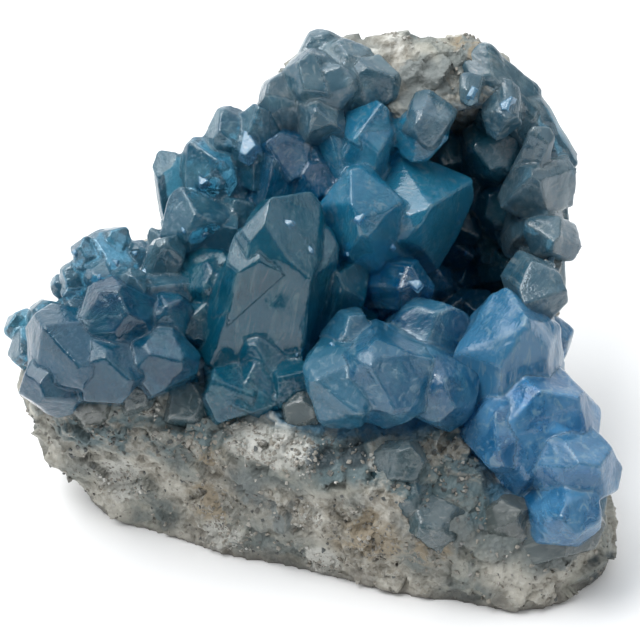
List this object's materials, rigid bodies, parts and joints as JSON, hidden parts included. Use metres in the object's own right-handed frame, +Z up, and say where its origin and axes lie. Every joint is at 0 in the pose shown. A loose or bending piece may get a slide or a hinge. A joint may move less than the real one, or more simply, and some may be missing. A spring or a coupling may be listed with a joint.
{
  "type": "celestite geode",
  "caption": "Broken geode of rough pale host rock with a bowl and a deep side pocket lined with blocky translucent blue crystals, resting on a flat underside.",
  "frame": {"origin": "on the flat underside that the geode rests on, below the middle of the bowl", "axes": "+Z up, +X to the right and +Y away for a viewer who looks into the bowl"},
  "size_m": [0.1292, 0.0963, 0.0917],
  "materials": {
    "host_rock": "rough broken rock, grey and tan with white grainy patches and a dark rind below",
    "celestite": "translucent steel blue crystal, glassy on some faces and frosted on others"
  },
  "bodies": {
    "root": {"host_rock": "host_rock", "celestite_crust": "celestite"}
  },
  "joints": []
}
